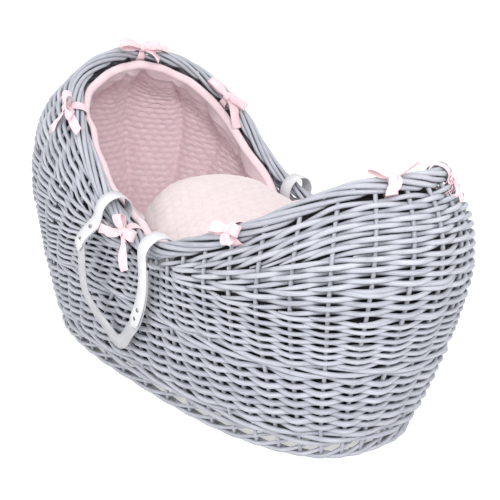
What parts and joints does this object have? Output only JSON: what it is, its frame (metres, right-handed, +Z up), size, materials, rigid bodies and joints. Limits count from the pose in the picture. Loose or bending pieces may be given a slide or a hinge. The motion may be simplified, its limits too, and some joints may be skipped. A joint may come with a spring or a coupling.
{
  "type": "moses basket",
  "caption": "Hooded woven willow baby basket with a board base, rolled rim, quilted liner tied on with ribbon bows, mattress, plumped coverlet and two swinging strap handles.",
  "frame": {"origin": "under the middle of the whole basket's box, on the surface the basket stands on", "axes": "+X along the length towards the foot end, with the hood at -X; +Y across the width; +Z up"},
  "size_m": [0.8662, 0.392, 0.4948],
  "materials": {
    "willow": "grey painted willow rods, satin",
    "board": "white painted plywood",
    "mattress": "white cotton cover over foam",
    "liner": "pink wave-quilted plush",
    "coverlet": "pale pink honeycomb cotton",
    "ribbon": "pale pink grosgrain ribbon",
    "strap": "white smooth leatherette",
    "eyelet": "nickel plated"
  },
  "bodies": {
    "basket": {"foot_border": "willow", "base_board": "board", "lower_weave": "willow", "waling_band": "willow", "hood_weave": "willow", "foot_end_weave": "willow", "rim_border": "willow", "mattress": "mattress", "liner": "liner", "coverlet": "coverlet", "tie_hood_top": "ribbon", "tie_hood_near": "ribbon", "tie_hood_far": "ribbon", "tie_side_near": "ribbon", "tie_side_far": "ribbon", "tie_middle_near": "ribbon", "tie_middle_far": "ribbon", "tie_foot_near": "ribbon", "tie_foot_far": "ribbon"},
    "handle_near": {"handle_strap_near": "strap", "strap_eyelet_near_1": "eyelet", "strap_eyelet_near_2": "eyelet", "strap_eyelet_near_3": "eyelet", "strap_eyelet_near_4": "eyelet"},
    "handle_far": {"handle_strap_far": "strap", "strap_eyelet_far_1": "eyelet", "strap_eyelet_far_2": "eyelet", "strap_eyelet_far_3": "eyelet", "strap_eyelet_far_4": "eyelet"}
  },
  "joints": [
    {"name": "handle_near_swing", "type": "hinge", "parent": "basket", "child": "handle_near", "pos_m": [-0.01223, -0.16382, 0.25826], "axis": [-0.9728, 0.0628, 0.2231], "range_deg": [0, 190]},
    {"name": "handle_far_swing", "type": "hinge", "parent": "basket", "child": "handle_far", "pos_m": [0.00922, 0.1647, 0.25092], "axis": [0.9928, 0.0633, -0.1018], "range_deg": [0, 190]}
  ]
}
